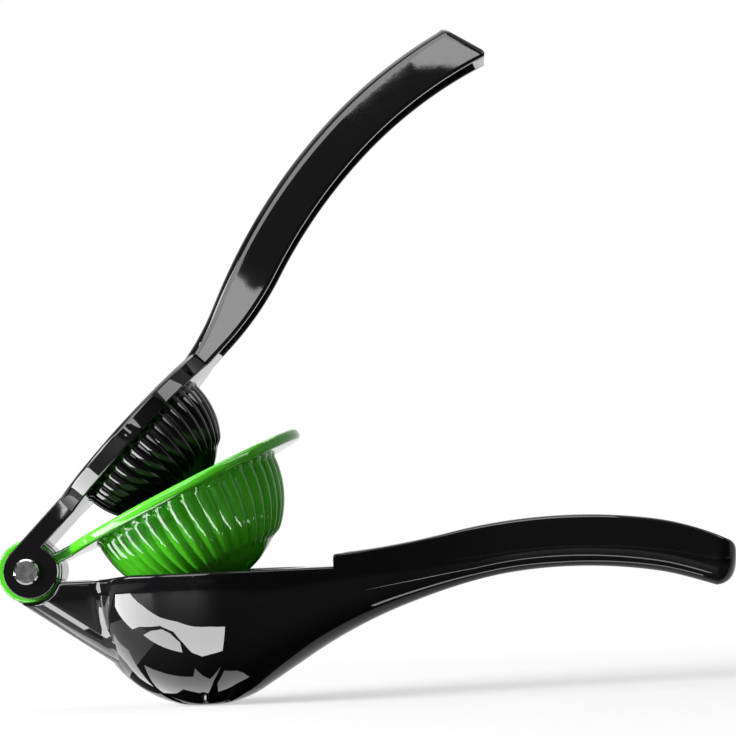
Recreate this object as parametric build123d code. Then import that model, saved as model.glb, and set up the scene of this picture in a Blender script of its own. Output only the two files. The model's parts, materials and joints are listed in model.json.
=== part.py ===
from build123d import *

import math
import os

# A hinged lemon and lime squeezer: three die castings that turn on one steel pin.
# Each casting is drawn closed, with the pin axis along Y through the origin, X towards
# the handles and Z up, and is then opened to its resting angle and moved to the part's
# frame. Millimetres and degrees throughout.

# --- Hinge -----------------------------------------------------------------------------
PIN_D = 5.0
PIN_RUNNING_CLEARANCE = 0.05  # radial, in the bores that turn on the pin
PIN_HEAD_D = 7.8
PIN_HEAD_T = 1.4
PIN_HEAD_CHAMFER = 0.5
PIN_END_PLAY = 0.1  # under each head
CAP_STEM_D = 2.4
CAP_STEM_L = 6.0
CAP_STEM_TIP_GAP = 0.5

LUG_R = 9.8  # centre lug, on the lower casting
LUG_W = 13.2
KNUCKLE_R = 9.6  # the insert's two ears, either side of the lug
KNUCKLE_W = 4.8
EAR_R = 8.2  # the press handle's two ears, outermost
EAR_W = 5.0
AXIAL_GAP = 0.3  # between neighbouring ears
RADIAL_GAP = 0.8  # round a neighbour's ear

# --- Lower bowl and handle -------------------------------------------------------------
BOWL_X = 52.3  # bowl centre from the pin
BOWL_R = 35.0
BOWL_CENTRE_Z = -8.7
BOWL_WALL = 3.0
RIM_Z = -2.3
CHEEK_DROP = 1.3  # the rim dips towards the hinge
CHEEK_DIP_START = 20.0
CHEEK_DIP_END = 32.0
ARM_SLOPE = 34.5  # underside of the hinge arm
ARM_EDGE_R = 4.5
REST_FLAT_D = 12.0
STEP_GAP = 1.0  # flange edge to the step at the root of the handle
STEP_H = 3.7
FLANK_TAPER = 18.0  # each side of the bowl runs to the handle at this angle
FLANK_BLEND_R = 150.0
FLANK_CORNER_SHARE = 0.985  # corner radius over half width, where the flank leaves the bowl
FLANK_L = 84.0  # from the bowl centre to where its corners are the handle's
KEEL_SLOPE = 32.0
KEEL_R = 150.0
LIP_START_SLOPE = 4.0
LIP_SLOPE = 12.0
LIP_SAG_R = 257.0
LIP_CROWN_R = 173.0
LIP_TAIL_R = 162.0
LOWER_END_X = 218.0
LOWER_END_LIP_R = 3.5
LOWER_END_KEEL_R = 8.0

# --- Both handles ----------------------------------------------------------------------
HANDLE_HALF = 13.0
HANDLE_CORNER_R = 5.5
HANDLE_WALL = 3.0
HANDLE_END_CORNER_R = 6.0
MIN_CORNER_R = 1.0
TAIL_SWEEP = 60.0  # the last arc of each handle runs well past its end
OUTER_STATIONS = 18  # sections of the lower handle's loft
INNER_STATIONS = 12
END_DROOP = 19.0  # both handles' outer edges slope down this much at their ends
END_REACH = 30.0  # how far back from the end its rounding is trimmed

# --- Insert bowl -----------------------------------------------------------------------
FLANGE_R = 40.3
FLANGE_T = 3.4
FLANGE_TOP_Z = 1.4
FLANGE_CHAMFER = 0.8
INSERT_R = 30.4  # over the ribs
INSERT_CENTRE_Z = -2.2
INSERT_WALL = 2.6
INSERT_RIBS = 40
RIB_H = 0.9
RIB_ROOT = 1.3  # a rib's depth over its height, so that it sinks into the ball
RIB_BASE_SHARE = 1.3  # of the pitch round the equator
RIB_CREST_SHARE = 0.34
RIB_END = 42.0  # ribs stop this far from the pole

# --- Press handle ----------------------------------------------------------------------
PLATE_R = 34.0
PLATE_GAP = 0.3  # above the insert's flange
PLATE_TOP_Z = 7.6
PLATE_CHAMFER = 1.2
DOME_R = 24.2  # over the ribs
DOME_WALL = 3.2
DOME_RIBS = 36
NECK_START = 70.0
NECK_ROOT_X = 76.0  # the handle's first section, standing on the plate
NECK_R = 79.7
NECK_RISE = 19.8
NECK_RUN = 4.8
CROWN_R = 180.0
TAIL_R = 150.0
UPPER_DEPTH = 13.5
UPPER_LIP_R = 98.0  # where the handle's lip leaves the plate's level
CHANNEL_GAP = 0.5  # plate edge to the end of the handle's channel
UPPER_END_X = 209.5
UPPER_END_SLANT = 13.0
UPPER_END_R = 3.0

# --- Drain slots -----------------------------------------------------------------------
SLOTS = 8
SLOT_W = 2.8
LOWER_SLOT_INNER = 8.5
LOWER_SLOT_OUTER = 18.0
INSERT_SLOT_INNER = 4.0
INSERT_SLOT_OUTER = 13.0

# --- Resting pose: each casting's angle above its closed place ---------------------------
INSERT_OPEN = 25.2
PRESS_OPEN = 45.4

# Worked out from the sizes above.
LUG_HALF = LUG_W / 2
KNUCKLE_IN = LUG_HALF + AXIAL_GAP
KNUCKLE_OUT = KNUCKLE_IN + KNUCKLE_W
EAR_IN = KNUCKLE_OUT + AXIAL_GAP
EAR_OUT = EAR_IN + EAR_W
FLANGE_BASE_Z = FLANGE_TOP_Z - FLANGE_T
PLATE_BASE_Z = FLANGE_TOP_Z + PLATE_GAP
STEP_X = BOWL_X + FLANGE_R + STEP_GAP
CHANNEL_START = STEP_X + HANDLE_WALL
BOWL_BOTTOM_Z = BOWL_CENTRE_Z - math.sqrt(BOWL_R**2 - (REST_FLAT_D / 2) ** 2)
FAR = 400.0  # longer than anything here, for half spaces
OVERLAP = 1.0  # how far solids that are joined or cut run into each other

PIN_AXIS = Axis((0, 0, 0), (0, 1, 0))
STANDING = (Align.CENTER, Align.CENTER, Align.MIN)


def disc(radius, y_from, y_to):
    """A cylinder on the pin axis between two places across the hinge."""
    face = Plane.XZ.offset(-y_from) * Circle(radius)
    return extrude(face, amount=-(y_to - y_from))


def both_sides(y_from, y_to, radius):
    return disc(radius, y_from, y_to) + disc(radius, -y_to, -y_from)


def side_region(top_edge):
    """Everything under a top edge drawn in the XZ plane, all across the part."""
    end = top_edge[-1] @ 1
    under = Polyline(end, (end.X, -FAR), (-FAR, -FAR), top_edge[0] @ 0)
    return extrude(Plane.XZ * make_face([*top_edge, under]), amount=FAR / 2, both=True)


def arc_height(arc, x):
    """Height at x on an arc that bows upwards."""
    centre = arc.arc_center
    return centre.Y + math.sqrt(arc.radius**2 - (x - centre.X) ** 2)


def bend(x, start, slope, radius):
    """Height at x on an arc that leaves start at a slope; a negative radius curves down."""
    centre_x = start[0] - radius * math.sin(math.radians(slope))
    centre_z = start[1] + radius * math.cos(math.radians(slope))
    side = math.copysign(1, radius)
    return centre_z - side * math.sqrt(radius**2 - (x - centre_x) ** 2)


def channel_section(x, half, crown, lip, corner):
    """A section across a handle: round corners at the crown, square at the lip."""
    up = math.copysign(1, crown - lip)
    shoulder = crown - up * corner
    round_x = half - corner * (1 - math.sin(math.radians(45)))
    round_z = crown - up * corner * (1 - math.cos(math.radians(45)))
    outline = [
        Line((-half, lip), (-half, shoulder)),
        ThreePointArc((-half, shoulder), (-round_x, round_z), (corner - half, crown)),
        Line((corner - half, crown), (half - corner, crown)),
        ThreePointArc((half - corner, crown), (round_x, round_z), (half, shoulder)),
        Line((half, shoulder), (half, lip)),
        Line((half, lip), (-half, lip)),
    ]
    across = Plane(origin=(x, 0, 0), x_dir=(0, 1, 0), z_dir=(1, 0, 0))
    return across * make_face(outline)


def ribs(count, crest_r, centre_z):
    """Meridian ribs on the lower half of a ball under the bowl centre, from its equator
    towards the pole. Their flanks meet in valleys, which rise as the ribs draw together."""
    root_r = crest_r - RIB_ROOT * RIB_H
    pitch = 2 * math.pi * crest_r / count
    base = pitch * RIB_BASE_SHARE / 2
    crest = pitch * RIB_CREST_SHARE / 2
    ridge = Polyline((root_r, -base), (crest_r, -crest), (crest_r, crest), (root_r, base), close=True)
    centre = (BOWL_X, 0, centre_z)
    section = Pos(*centre) * make_face(ridge)
    rib = revolve(section, axis=Axis(centre, (0, 1, 0)), revolution_arc=90 - RIB_END)
    return [rib.rotate(Axis(centre, (0, 0, 1)), turn * 360 / count) for turn in range(count)]


def drain_slots(inner, outer):
    """A ring of radial slots through the bottom of a bowl."""
    middle = (inner + outer) / 2
    slot = Pos(middle, 0) * SlotOverall(outer - inner, SLOT_W)
    ring = [Rot(0, 0, turn * 360 / SLOTS) * slot for turn in range(SLOTS)]
    return [Pos(BOWL_X, 0, 0) * extrude(one, amount=-2 * BOWL_R) for one in ring]


def lip_edge():
    """The lower casting's top edge from the side: the rim, then the handle's lip."""
    cheek_z = RIM_Z - CHEEK_DROP
    cheek = [(-FAR, cheek_z), (CHEEK_DIP_START, cheek_z), (CHEEK_DIP_END, RIM_Z)]
    rim = Polyline(*cheek, (STEP_X, RIM_Z), (STEP_X, RIM_Z + STEP_H))
    start_direction = Vector(1, 0).rotate(Axis.Z, LIP_START_SLOPE)
    sag = JernArc(rim @ 1, start_direction, LIP_SAG_R, LIP_SLOPE - LIP_START_SLOPE)
    crown = JernArc(sag @ 1, sag % 1, LIP_CROWN_R, -LIP_SLOPE)
    tail = JernArc(crown @ 1, crown % 1, LIP_TAIL_R, -TAIL_SWEEP)
    return [rim, sag, crown, tail]


HANDLE_TOP_X = (lip_edge()[-1] @ 0).X  # where the lower handle's top edge is highest


def lower_keel(x):
    """Lowest line of the flank and handle, from its tangent on the bowl."""
    slope = math.radians(KEEL_SLOPE)
    start_x = BOWL_X + BOWL_R * math.sin(slope)
    start_z = BOWL_CENTRE_Z - BOWL_R * math.cos(slope)
    bend_x = HANDLE_TOP_X - KEEL_R * math.sin(slope)
    if x < start_x:
        return BOWL_CENTRE_Z - math.sqrt(BOWL_R**2 - (x - BOWL_X) ** 2)
    if x < bend_x:
        return start_z + (x - start_x) * math.tan(slope)
    bend_start = (bend_x, start_z + (bend_x - start_x) * math.tan(slope))
    return bend(x, bend_start, KEEL_SLOPE, -KEEL_R)


def lower_half_width(x):
    """Half width of the flank and handle, from its tangent on the bowl."""
    taper = math.radians(FLANK_TAPER)
    start_x = BOWL_X + BOWL_R * math.sin(taper)
    start_y = BOWL_R * math.cos(taper)
    corner_x = start_x + (start_y - HANDLE_HALF) / math.tan(taper)
    blend = FLANK_BLEND_R * math.tan(taper / 2)
    bend_x = corner_x - blend * math.cos(taper)
    if x < start_x:
        return math.sqrt(BOWL_R**2 - (x - BOWL_X) ** 2)
    if x < bend_x:
        return start_y - (x - start_x) * math.tan(taper)
    if x < corner_x + blend:
        bend_start = (bend_x, start_y - (bend_x - start_x) * math.tan(taper))
        return bend(x, bend_start, -FLANK_TAPER, FLANK_BLEND_R)
    return HANDLE_HALF


def lower_corner(x, half):
    """Corner radius of the flank, from nearly round at the bowl to the handle's own."""
    start_x = BOWL_X + BOWL_R * math.sin(math.radians(FLANK_TAPER))
    along = min(max((x - start_x) / (BOWL_X + FLANK_L - start_x), 0), 1)
    end_share = HANDLE_CORNER_R / HANDLE_HALF
    return half * (FLANK_CORNER_SHARE + along * (end_share - FLANK_CORNER_SHARE))


def lower_loft(stations, inset):
    """The lofted flank and handle, or its inside where inset is the wall."""
    sections = []
    for x in stations:
        outer_half = lower_half_width(x)
        corner = max(lower_corner(x, outer_half) - inset, MIN_CORNER_R)
        keel = lower_keel(x) + inset
        sections.append(channel_section(x, outer_half - inset, keel, BOWL_R, corner))
    return loft(sections, ruled=True)


def stations_between(first, last, count):
    return [first + (last - first) * step / (count - 1) for step in range(count)]


def make_lower_bowl():
    centre = Pos(BOWL_X, 0, BOWL_CENTRE_Z)
    tangent_x = BOWL_X + BOWL_R * math.sin(math.radians(FLANK_TAPER))
    flank_stations = stations_between(tangent_x - OVERLAP, LOWER_END_X + OVERLAP, OUTER_STATIONS)
    bowl = centre * Sphere(BOWL_R) + lower_loft(flank_stations, 0)

    slope = math.radians(ARM_SLOPE)
    heel = (-LUG_R * math.sin(slope), -LUG_R * math.cos(slope))
    toe_x = BOWL_X - BOWL_R / 2
    toe = (toe_x, heel[1] - (toe_x - heel[0]) * math.tan(slope))
    arm_side = Plane.XZ * make_face(Polyline(heel, toe, (toe_x, RIM_Z), (0, RIM_Z), (0, 0), heel))
    cheeks = extrude(arm_side, amount=EAR_OUT, both=True)
    underside = cheeks.faces().sort_by(Axis.Z)[0]
    cheeks = fillet(underside.edges().filter_by(Axis.Y, reverse=True), ARM_EDGE_R)
    cheeks -= disc(KNUCKLE_R + RADIAL_GAP, -EAR_OUT - OVERLAP, EAR_OUT + OVERLAP)
    tongue = extrude(arm_side, amount=LUG_HALF, both=True)

    body = (bowl + cheeks + tongue) & side_region(lip_edge())
    body += disc(LUG_R, -LUG_HALF, LUG_HALF)

    inside_r = BOWL_R - BOWL_WALL
    body -= centre * Sphere(inside_r)
    body -= centre * Cylinder(inside_r, BOWL_R, align=STANDING)
    channel_stations = stations_between(CHANNEL_START, LOWER_END_X - HANDLE_WALL, INNER_STATIONS)
    body -= lower_loft(channel_stations, HANDLE_WALL)
    body -= Pos(BOWL_X, 0, BOWL_BOTTOM_Z - BOWL_R) * Box(BOWL_R, BOWL_R, BOWL_R, align=STANDING)
    for slot in drain_slots(LOWER_SLOT_INNER, LOWER_SLOT_OUTER):
        body -= slot
    body -= disc(PIN_D / 2, -EAR_OUT, EAR_OUT)
    return body & lower_end()


def rounded_end(end_x, side_outline, radii):
    """Everything short of a handle's end. The outline's first two corners are the end's."""
    side = make_face(Polyline(*side_outline, close=True))
    for corner, radius in zip(side_outline, radii):
        nearest = side.vertices().sort_by_distance((*corner, 0))[0]
        side = fillet(nearest, radius)
    back = end_x - END_REACH
    profile = extrude(Plane.XZ * side, amount=FAR, both=True)
    plan = Pos(back, 0) * Rectangle(2 * END_REACH, 2 * HANDLE_HALF)
    plan = fillet(plan.vertices().group_by(Axis.X)[-1], HANDLE_END_CORNER_R)
    tip = profile & extrude(plan, amount=FAR, both=True)
    rest = Pos(back - FAR + OVERLAP, 0, 0) * Box(2 * FAR, FAR, FAR)
    return tip + rest


def lower_end():
    """The lower handle's end, rounded from its lip and its keel."""
    low = lower_keel(LOWER_END_X - LOWER_END_KEEL_R)
    high = arc_height(lip_edge()[-1], LOWER_END_X)
    back = LOWER_END_X - END_REACH
    rise = END_REACH * math.tan(math.radians(END_DROOP))
    outline = [(LOWER_END_X, low), (LOWER_END_X, high), (back, high + rise), (back, low)]
    return rounded_end(LOWER_END_X, outline, (LOWER_END_KEEL_R, LOWER_END_LIP_R))


def upper_end():
    """The press handle's end: slanted, round on top and crisp at the lip."""
    high = arc_height(crest_edge(0)[-1], UPPER_END_X)
    back = UPPER_END_X - END_REACH
    rise = END_REACH * math.tan(math.radians(END_DROOP))
    lean = math.tan(math.radians(UPPER_END_SLANT))
    outline = [(UPPER_END_X, high), (UPPER_END_X + lean * BOWL_R, high - BOWL_R)]
    outline += [(back, high - BOWL_R), (back, high + rise)]
    return rounded_end(UPPER_END_X + lean * UPPER_DEPTH, outline, (UPPER_END_R,))


def crest_edge(inset):
    """The press handle's top edge from the side, or that edge moved in by inset."""
    flat_z = PLATE_TOP_Z - inset
    flat = Line((-FAR, flat_z), (NECK_START, flat_z))
    dip = JernArc(flat @ 1, flat % 1, NECK_R + inset, NECK_RISE)
    rise = Line(dip @ 1, dip @ 1 + (dip % 1) * NECK_RUN)
    crown = JernArc(rise @ 1, rise % 1, CROWN_R - inset, -NECK_RISE)
    tail = JernArc(crown @ 1, crown % 1, TAIL_R - inset, -TAIL_SWEEP)
    return [flat, dip, rise, crown, tail]


def upper_lip_edge():
    """The press handle's lip from the side: the plate's base, then parallel to the crest."""
    crown_r = CROWN_R - UPPER_DEPTH
    crown_centre = crest_edge(UPPER_DEPTH)[3].arc_center
    reach = crown_r + UPPER_LIP_R
    slope = math.acos((PLATE_BASE_Z + UPPER_LIP_R - crown_centre.Y) / reach)
    flat = Line((-FAR, PLATE_BASE_Z), (crown_centre.X - reach * math.sin(slope), PLATE_BASE_Z))
    bend_up = JernArc(flat @ 1, flat % 1, UPPER_LIP_R, math.degrees(slope))
    crown = JernArc(bend_up @ 1, bend_up % 1, crown_r, -math.degrees(slope))
    tail = JernArc(crown @ 1, crown % 1, TAIL_R - UPPER_DEPTH, -TAIL_SWEEP)
    return [flat, bend_up, crown, tail]


def upper_beam(first, last, half, inset):
    """The press handle as a solid bar with its crest moved in by inset."""
    span = Pos((first + last) / 2, 0, 0) * Box(last - first, 2 * half, FAR)
    bar = side_region(crest_edge(inset)) & span
    crest = bar.edges().filter_by(Axis.Y, reverse=True).filter_by(lambda edge: edge.center().Z > 0)
    return fillet(crest, HANDLE_CORNER_R - inset)


def make_press_plate():
    """The round plate and the arm that carries the two ears, with its slot between them."""
    base = Pos(0, 0, PLATE_BASE_Z)
    round_plan = Pos(BOWL_X, 0) * Circle(PLATE_R)
    plate = base * extrude(round_plan, amount=PLATE_TOP_Z - PLATE_BASE_Z)
    plate = chamfer(plate.edges().sort_by(Axis.Z)[-1], PLATE_CHAMFER)
    arm_top = [(0, EAR_R), (BOWL_X, PLATE_TOP_Z)]
    arm_side = Polyline(*arm_top, (BOWL_X, PLATE_BASE_Z), (0, PLATE_BASE_Z), close=True)
    arm = extrude(Plane.XZ * make_face(arm_side), amount=EAR_OUT, both=True)
    plate += arm + both_sides(EAR_IN, EAR_OUT, EAR_R)
    return plate - disc(LUG_R + RADIAL_GAP, -EAR_IN, EAR_IN)


def make_press_handle():
    handle = upper_beam(NECK_ROOT_X, UPPER_END_X + UPPER_DEPTH, HANDLE_HALF, 0)
    handle -= side_region(upper_lip_edge())
    channel_start = BOWL_X + PLATE_R + CHANNEL_GAP
    channel_half = HANDLE_HALF - HANDLE_WALL
    handle -= upper_beam(channel_start, UPPER_END_X - HANDLE_WALL, channel_half, HANDLE_WALL)
    handle &= upper_end()

    dome_centre = Pos(BOWL_X, 0, PLATE_BASE_Z)
    ball_r = DOME_R - RIB_H
    dome = dome_centre * Sphere(ball_r) + ribs(DOME_RIBS, DOME_R, PLATE_BASE_Z)
    dome &= Pos(BOWL_X, 0, PLATE_BASE_Z - FAR / 2) * Box(FAR, FAR, FAR)
    body = make_press_plate() + handle + dome

    dish_r = ball_r - DOME_WALL
    body -= dome_centre * Sphere(dish_r)
    body -= dome_centre * Cylinder(dish_r, FAR, align=STANDING)
    body -= disc(PIN_D / 2 + PIN_RUNNING_CLEARANCE, -EAR_OUT - OVERLAP, EAR_OUT + OVERLAP)
    return body


def make_insert_bowl():
    centre = Pos(BOWL_X, 0, INSERT_CENTRE_Z)
    flange = Pos(BOWL_X, 0, FLANGE_BASE_Z) * Cylinder(FLANGE_R, FLANGE_T, align=STANDING)
    flange = chamfer(flange.edges(), FLANGE_CHAMFER)
    arm_l = BOWL_X - INSERT_R
    arm = Pos(arm_l / 2, 0, FLANGE_BASE_Z + FLANGE_T / 2) * Box(arm_l, 2 * KNUCKLE_OUT, FLANGE_T)
    below = Pos(BOWL_X, 0, FLANGE_BASE_Z + FLANGE_T / 2 - FAR / 2) * Box(FAR, FAR, FAR)
    ball_r = INSERT_R - RIB_H
    body = centre * Sphere(ball_r) + ribs(INSERT_RIBS, INSERT_R, INSERT_CENTRE_Z)
    body &= below
    body += flange
    body += arm
    body += both_sides(KNUCKLE_IN, KNUCKLE_OUT, KNUCKLE_R)
    body -= disc(LUG_R + RADIAL_GAP, -KNUCKLE_IN, KNUCKLE_IN)

    inside_r = ball_r - INSERT_WALL
    body -= centre * Sphere(inside_r)
    body -= centre * Cylinder(inside_r, BOWL_R, align=STANDING)
    for slot in drain_slots(INSERT_SLOT_INNER, INSERT_SLOT_OUTER):
        body -= slot
    body -= disc(PIN_D / 2 + PIN_RUNNING_CLEARANCE, -EAR_OUT - OVERLAP, EAR_OUT + OVERLAP)
    return body


def pin_head(y_inner):
    """A round head with a chamfered rim, outside y_inner."""
    out = math.copysign(1, y_inner)
    low, high = sorted((y_inner, y_inner + out * PIN_HEAD_T))
    head = disc(PIN_HEAD_D / 2, low, high)
    rim = head.edges().filter_by(GeomType.CIRCLE).sort_by(Axis.Y)
    return chamfer(rim[-1] if out > 0 else rim[0], PIN_HEAD_CHAMFER)


def make_hinge_pin():
    head_y = EAR_OUT + PIN_END_PLAY
    pin = pin_head(-head_y) + disc(PIN_D / 2, -head_y, head_y)
    return pin - disc(CAP_STEM_D / 2, head_y - CAP_STEM_L - CAP_STEM_TIP_GAP, head_y)


def make_pin_cap():
    head_y = EAR_OUT + PIN_END_PLAY
    return pin_head(head_y) + disc(CAP_STEM_D / 2, head_y - CAP_STEM_L, head_y)


def place(shape, opened):
    """Opens a casting about the pin and moves it into the part's frame."""
    turned = shape.rotate(PIN_AXIS, -opened)
    return turned.translate((-(LOWER_END_X - LUG_R) / 2, 0, -BOWL_BOTTOM_Z))


os.makedirs("parts", exist_ok=True)
export_step(place(make_lower_bowl(), 0), "parts/lower_bowl.step")
export_step(place(make_insert_bowl(), INSERT_OPEN), "parts/insert_bowl.step")
export_step(place(make_press_handle(), PRESS_OPEN), "parts/press_handle.step")
export_step(place(make_hinge_pin(), 0), "parts/hinge_pin.step")
export_step(place(make_pin_cap(), 0), "parts/pin_cap.step")
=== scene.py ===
import json
import math

import bmesh
import bpy
from mathutils import Matrix, Vector


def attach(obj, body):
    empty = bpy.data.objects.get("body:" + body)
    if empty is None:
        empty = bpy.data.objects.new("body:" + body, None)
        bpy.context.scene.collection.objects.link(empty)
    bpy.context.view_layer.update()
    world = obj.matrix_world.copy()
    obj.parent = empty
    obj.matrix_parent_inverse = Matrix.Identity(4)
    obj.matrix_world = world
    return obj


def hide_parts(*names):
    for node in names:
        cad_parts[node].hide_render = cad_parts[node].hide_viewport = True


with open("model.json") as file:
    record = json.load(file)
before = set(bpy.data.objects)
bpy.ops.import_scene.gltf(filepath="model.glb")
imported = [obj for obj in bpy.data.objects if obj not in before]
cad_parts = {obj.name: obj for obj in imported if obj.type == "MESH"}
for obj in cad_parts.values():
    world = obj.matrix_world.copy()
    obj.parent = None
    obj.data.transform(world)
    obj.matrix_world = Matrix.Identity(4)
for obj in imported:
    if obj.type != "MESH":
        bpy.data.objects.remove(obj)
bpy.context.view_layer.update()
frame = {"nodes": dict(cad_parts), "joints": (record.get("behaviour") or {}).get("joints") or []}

MM = 0.001
scene = bpy.context.scene

# --- Camera: the photograph's view ---------------------------------------------------------
VIEW_AZIMUTH = math.radians(1.34)
VIEW_ELEVATION = math.radians(-2.45)
VIEW_ROLL = math.radians(-2.52)
VIEW_TARGET = Vector((2.07, 0, 101.3)) * MM
VIEW_DISTANCE = 1148 * MM
LENS = 181.8
SENSOR = 36.0


def view_axes():
    """The view's right, up and back directions."""
    flat = math.cos(VIEW_ELEVATION)
    back = Vector((math.sin(VIEW_AZIMUTH) * flat, -math.cos(VIEW_AZIMUTH) * flat, math.sin(VIEW_ELEVATION)))
    level = Vector((math.cos(VIEW_AZIMUTH), math.sin(VIEW_AZIMUTH), 0))
    upright = back.cross(level)
    right = level * math.cos(VIEW_ROLL) + upright * math.sin(VIEW_ROLL)
    up = upright * math.cos(VIEW_ROLL) - level * math.sin(VIEW_ROLL)
    return right, up, back


RIGHT, UP, BACK = view_axes()
EYE = VIEW_TARGET + BACK * VIEW_DISTANCE


def make_camera():
    data = bpy.data.cameras.new("camera")
    data.lens = LENS
    data.sensor_width = SENSOR
    camera = bpy.data.objects.new("camera", data)
    scene.collection.objects.link(camera)
    turn = Matrix((RIGHT, UP, BACK)).transposed().to_4x4()
    camera.matrix_world = Matrix.Translation(EYE) @ turn
    scene.camera = camera


# --- Materials -----------------------------------------------------------------------------
ENAMEL_IOR = 1.3
ENAMEL_CLOUD_SIZE = 18 * MM
SMUDGE_SIZE = 6 * MM
ORANGE_PEEL_SIZE = 2.2 * MM
ORANGE_PEEL_DEPTH = 0.004 * MM
STEEL_CLOUD_SIZE = 1.5 * MM
SMOOTHEST, ROUGHEST = 0.8, 1.25  # shares of a coat's roughness
NOISE_LOW, NOISE_HIGH = 0.3, 0.7  # most of a noise texture's values lie between these


def new_material(name):
    material = bpy.data.materials.new(name)
    material.use_nodes = True
    tree = material.node_tree
    return material, tree, tree.nodes["Principled BSDF"]


def noise(tree, coordinates, size, detail):
    node = tree.nodes.new("ShaderNodeTexNoise")
    node.inputs["Scale"].default_value = 1 / size
    node.inputs["Detail"].default_value = detail
    tree.links.new(coordinates, node.inputs["Vector"])
    return node.outputs["Fac"]


def spread(tree, value, low, high):
    """A noise value mapped onto low to high."""
    node = tree.nodes.new("ShaderNodeMapRange")
    node.inputs["From Min"].default_value = NOISE_LOW
    node.inputs["From Max"].default_value = NOISE_HIGH
    node.inputs["To Min"].default_value = low
    node.inputs["To Max"].default_value = high
    tree.links.new(value, node.inputs["Value"])
    return node.outputs["Result"]


def blend_colours(tree, factor, first, second):
    node = tree.nodes.new("ShaderNodeMix")
    node.data_type = "RGBA"
    tree.links.new(factor, node.inputs["Factor"])
    node.inputs["A"].default_value = (*first, 1)
    node.inputs["B"].default_value = (*second, 1)
    return node.outputs["Result"]


def enamel(name, colour, deep_colour, roughness, peel):
    """Baked enamel on a casting: glossy, with a faint orange peel and a slightly uneven coat."""
    material, tree, shader = new_material(name)
    place = tree.nodes.new("ShaderNodeTexCoord").outputs["Object"]
    clouds = noise(tree, place, ENAMEL_CLOUD_SIZE, detail=3)
    tree.links.new(blend_colours(tree, clouds, colour, deep_colour), shader.inputs["Base Color"])
    smudges = noise(tree, place, SMUDGE_SIZE, detail=4)
    uneven = spread(tree, smudges, roughness * SMOOTHEST, roughness * ROUGHEST)
    tree.links.new(uneven, shader.inputs["Roughness"])
    shader.inputs["IOR"].default_value = ENAMEL_IOR
    bump = tree.nodes.new("ShaderNodeBump")
    bump.inputs["Strength"].default_value = peel
    bump.inputs["Distance"].default_value = ORANGE_PEEL_DEPTH
    tree.links.new(noise(tree, place, ORANGE_PEEL_SIZE, detail=2), bump.inputs["Height"])
    tree.links.new(bump.outputs["Normal"], shader.inputs["Normal"])
    return material


def steel(name, colour, bright_colour, smooth, rough):
    """Polished steel, a little cloudy from use."""
    material, tree, shader = new_material(name)
    place = tree.nodes.new("ShaderNodeTexCoord").outputs["Object"]
    clouds = noise(tree, place, STEEL_CLOUD_SIZE, detail=4)
    tree.links.new(blend_colours(tree, clouds, colour, bright_colour), shader.inputs["Base Color"])
    tree.links.new(spread(tree, clouds, smooth, rough), shader.inputs["Roughness"])
    shader.inputs["Metallic"].default_value = 1.0
    return material


def glow(name, strength):
    material, tree, shader = new_material(name)
    shader.inputs["Base Color"].default_value = (0, 0, 0, 1)
    shader.inputs["Emission Color"].default_value = (1, 1, 1, 1)
    shader.inputs["Emission Strength"].default_value = strength
    return material


def paint(obj, material):
    obj.data.materials.clear()
    obj.data.materials.append(material)


# --- Studio --------------------------------------------------------------------------------
WORLD_FILL = 0.26
FLOOR_HALF = 6.0
FLOOR_ROUGHNESS = 0.9
FLOOR_SEEN = (0.95, 0.95, 0.95)
FLOOR_BOUNCE = (0.12, 0.12, 0.12)  # what the floor throws back onto the object
FADE_START = 120 * MM  # the floor turns to plain white from here
FADE_END = 400 * MM
FADE_LEAST = 0.55  # how white it is under the object
KEY_PLACE = Vector((-1.35, -0.6, 0.45))
KEY_AIM = Vector((-0.02, 0, 0.07))
KEY_WIDTH = 0.9
KEY_HEIGHT = 0.7
KEY_POWER = 56.0


def background_rays(tree):
    """1 for the rays that see the background: the camera's and those in gloss and glass."""
    path = tree.nodes.new("ShaderNodeLightPath")
    total = path.outputs["Is Camera Ray"]
    for name in ("Is Glossy Ray", "Is Transmission Ray"):
        node = tree.nodes.new("ShaderNodeMath")
        node.operation = "MAXIMUM"
        tree.links.new(total, node.inputs[0])
        tree.links.new(path.outputs[name], node.inputs[1])
        total = node.outputs["Value"]
    return total


def make_world():
    world = bpy.data.worlds.new("world")
    scene.world = world
    world.use_nodes = True
    tree = world.node_tree
    background = tree.nodes["Background"]
    background.inputs["Color"].default_value = (1, 1, 1, 1)
    strength = tree.nodes.new("ShaderNodeMapRange")
    strength.inputs["To Min"].default_value = WORLD_FILL
    strength.inputs["To Max"].default_value = 1.0
    tree.links.new(background_rays(tree), strength.inputs["Value"])
    tree.links.new(strength.outputs["Result"], background.inputs["Strength"])


def make_stage_mesh(name, corners, material, faces=None):
    """A piece of the studio, of one face where none are given."""
    mesh = bpy.data.meshes.new(name)
    mesh.from_pydata(corners, [], faces or [tuple(range(len(corners)))])
    obj = bpy.data.objects.new(name, mesh)
    scene.collection.objects.link(obj)
    paint(obj, material)
    return obj


def square(half):
    """Corners of a level square about the origin."""
    return [(-half, -half, 0), (half, -half, 0), (half, half, 0), (-half, half, 0)]


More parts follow.
